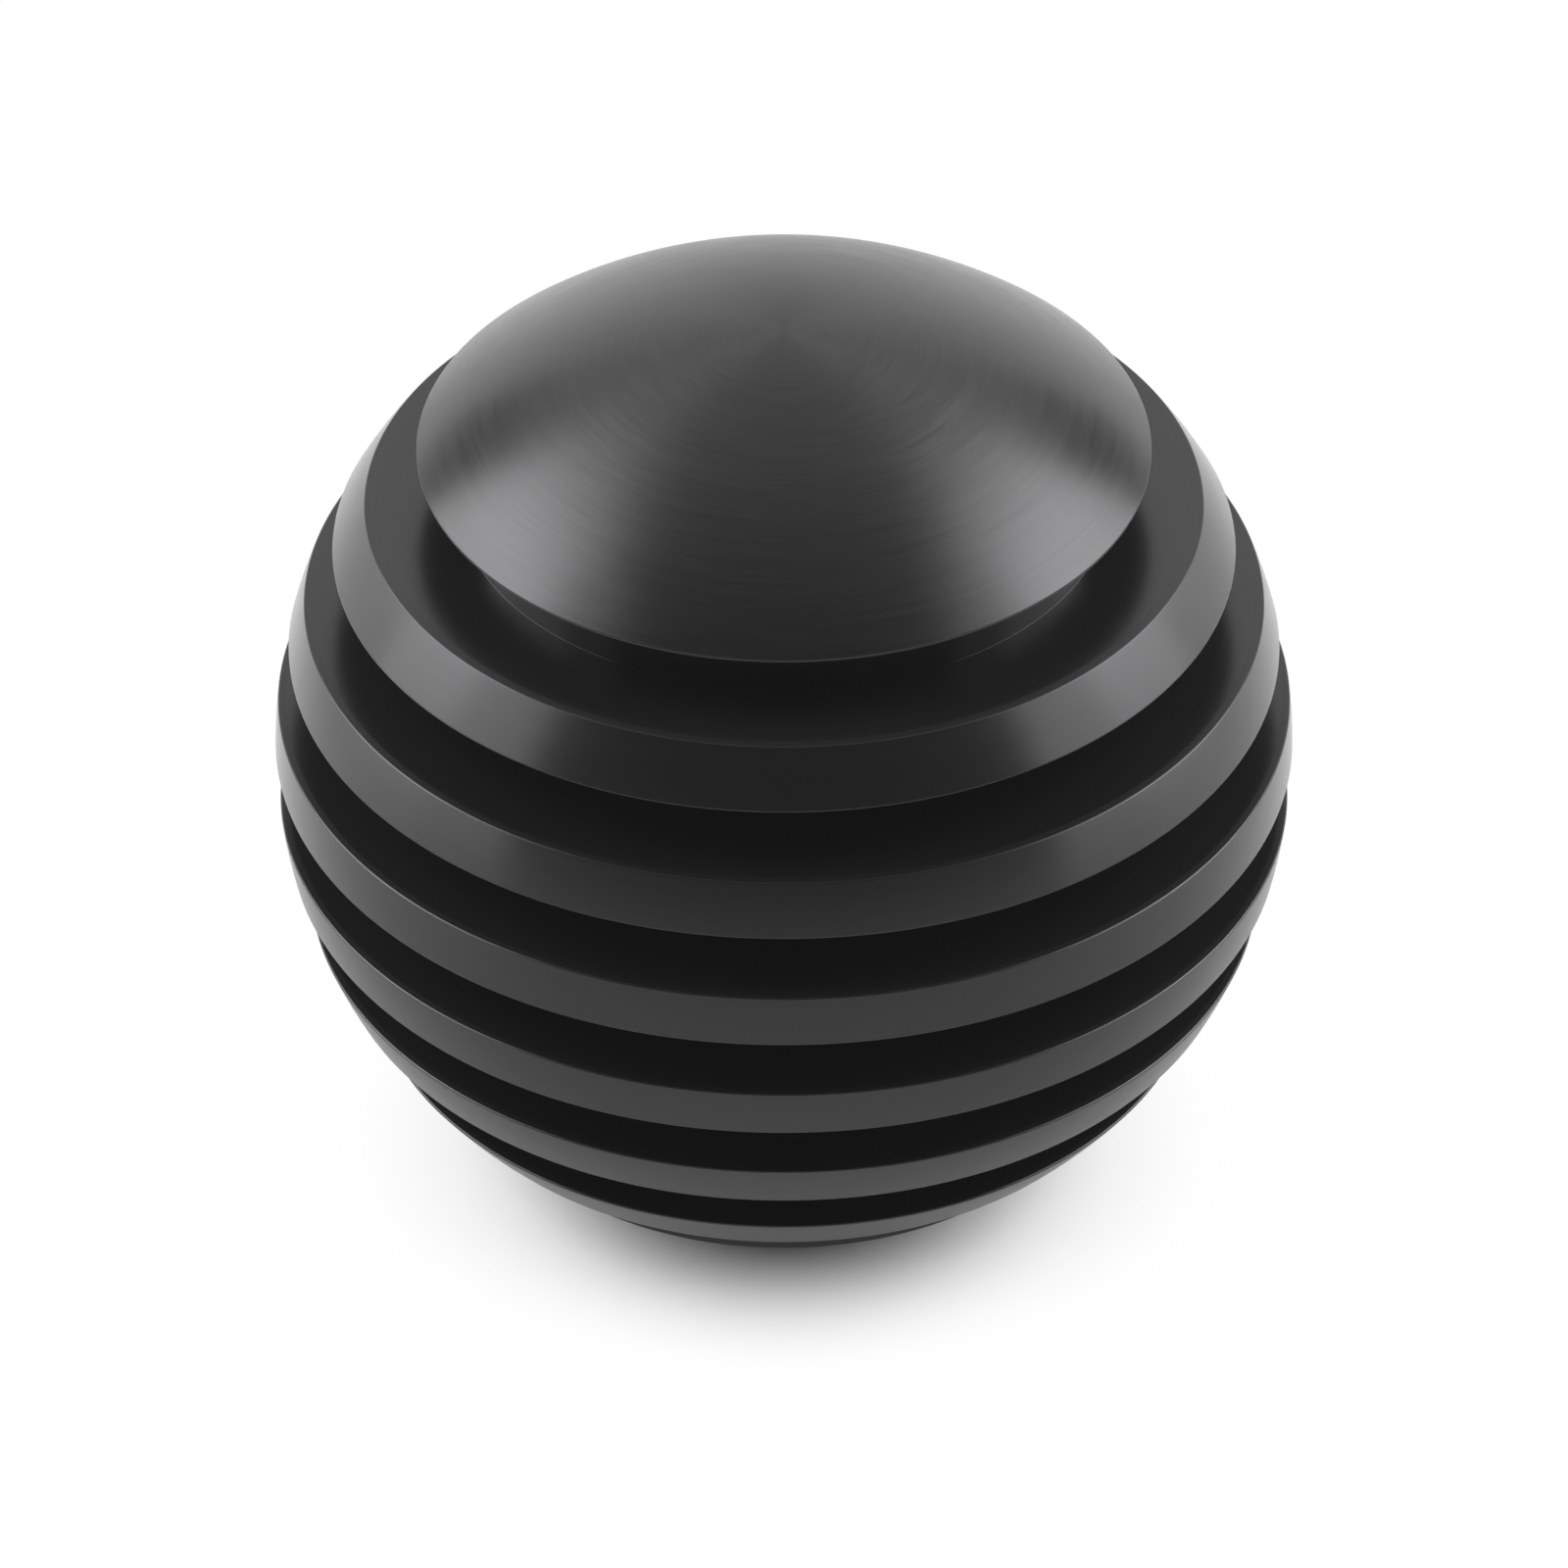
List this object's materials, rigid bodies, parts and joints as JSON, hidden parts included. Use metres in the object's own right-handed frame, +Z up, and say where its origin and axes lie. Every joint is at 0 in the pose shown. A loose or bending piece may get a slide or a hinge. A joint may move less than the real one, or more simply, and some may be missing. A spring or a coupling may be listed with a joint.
{
  "type": "gear shift knob",
  "caption": "Ball-shaped billet gear shift knob with a smooth dome over horizontal ribs and a threaded bush in its base for the shift lever.",
  "frame": {"origin": "centre of the base flat that the knob stands on", "axes": "+Z up the knob's axis of revolution, from the lever's thread to the dome"},
  "size_m": [0.0508, 0.0508, 0.0477],
  "materials": {
    "knob_body": "turned and black anodised, satin",
    "thread_bush": "turned, bright"
  },
  "bodies": {
    "root": {"knob_body": "knob_body", "thread_bush": "thread_bush"}
  },
  "joints": []
}
